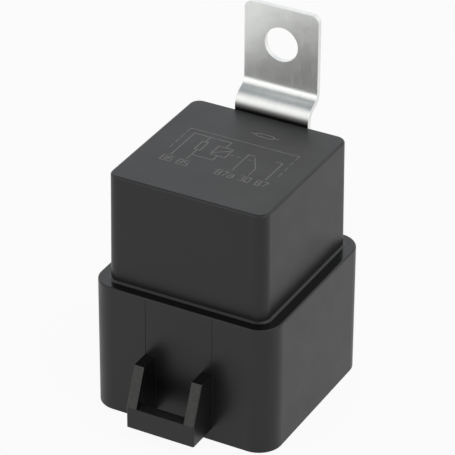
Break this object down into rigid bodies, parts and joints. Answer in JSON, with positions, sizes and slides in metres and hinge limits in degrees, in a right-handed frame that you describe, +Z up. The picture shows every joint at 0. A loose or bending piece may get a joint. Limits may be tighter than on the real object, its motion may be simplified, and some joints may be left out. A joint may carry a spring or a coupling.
{
  "type": "automotive relay",
  "caption": "Plug-in changeover relay with a skirted cube housing, a latch loop on the skirt, recessed blade terminals and a steel fixing tab.",
  "frame": {"origin": "centre of the skirt's lower rim, on the plane the relay stands on", "axes": "+Z up from the rim to the fixing tab, -Y out of the face with the latch loop, +X to the right when looking at that face"},
  "size_m": [0.0328, 0.041, 0.0608],
  "materials": {
    "housing_plastic": "satin moulded, black",
    "bracket_steel": "bright plated sheet",
    "base_plastic": "moulded, black",
    "resin": "poured, glossy black",
    "blade_tin": "tinned brass",
    "magnet_steel": "zinc plated soft iron",
    "bobbin_plastic": "moulded, natural",
    "winding_copper": "enamelled copper wire",
    "spring_bronze": "rolled bronze strip",
    "rivet_steel": "bright steel",
    "contact_silver": "silver alloy",
    "carrier_copper": "punched copper strip",
    "spring_steel": "spring strip",
    "resistor_lacquer": "lacquered",
    "lead_tin": "tinned wire"
  },
  "bodies": {
    "relay_body": {"housing": "housing_plastic", "mounting_bracket": "bracket_steel", "base_plate": "base_plastic", "sealing_resin": "resin", "blade_30": "blade_tin", "blade_85": "blade_tin", "blade_86": "blade_tin", "blade_87": "blade_tin", "blade_87a": "blade_tin", "yoke": "magnet_steel", "core": "magnet_steel", "bobbin": "bobbin_plastic", "coil_winding": "winding_copper", "coil_start_wire": "winding_copper", "coil_end_wire": "winding_copper", "make_contact": "contact_silver", "break_contact": "contact_silver", "make_carrier": "carrier_copper", "break_carrier": "carrier_copper", "hinge_spring": "spring_steel", "spring_rivets": "rivet_steel", "resistor_body": "resistor_lacquer", "resistor_leads": "lead_tin"},
    "armature_group": {"armature": "magnet_steel", "contact_leaf": "spring_bronze", "armature_rivets": "rivet_steel", "moving_contact": "contact_silver"}
  },
  "joints": [
    {"name": "armature_hinge", "type": "hinge", "parent": "relay_body", "child": "armature_group", "pos_m": [0, -0.0118, 0.0359], "axis": [1, 0, 0], "range_deg": [-2.6, 0], "stiffness_Nm_per_rad": 0.05, "springref_deg": 5.73}
  ]
}
